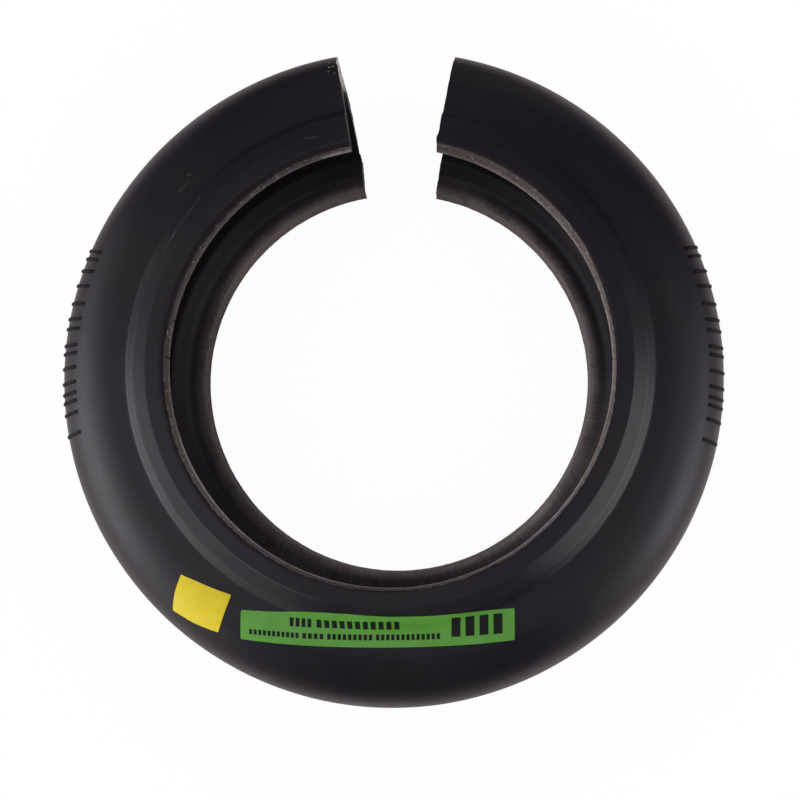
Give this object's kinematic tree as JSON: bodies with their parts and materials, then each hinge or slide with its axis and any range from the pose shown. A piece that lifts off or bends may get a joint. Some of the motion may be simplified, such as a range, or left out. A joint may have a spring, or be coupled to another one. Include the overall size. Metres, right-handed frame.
{
  "type": "coupling tyre",
  "caption": "Split moulded rubber tyre of a flexible shaft coupling: C-section ring with clamping beads, sidewall labels.",
  "frame": {"origin": "on the ring's axis, in the plane of the lower bead face that it lies on", "axes": "+Z along the ring's axis and the shafts it joins, +Y from the axis through the middle of the split, +X to the right when seen from above"},
  "size_m": [0.211, 0.2091, 0.056],
  "materials": {
    "moulded_rubber": "satin moulded",
    "green_film": "satin adhesive film",
    "yellow_film": "satin adhesive film"
  },
  "bodies": {
    "root": {"tyre": "moulded_rubber", "green_strip_label": "green_film", "yellow_patch_label": "yellow_film"}
  },
  "joints": []
}
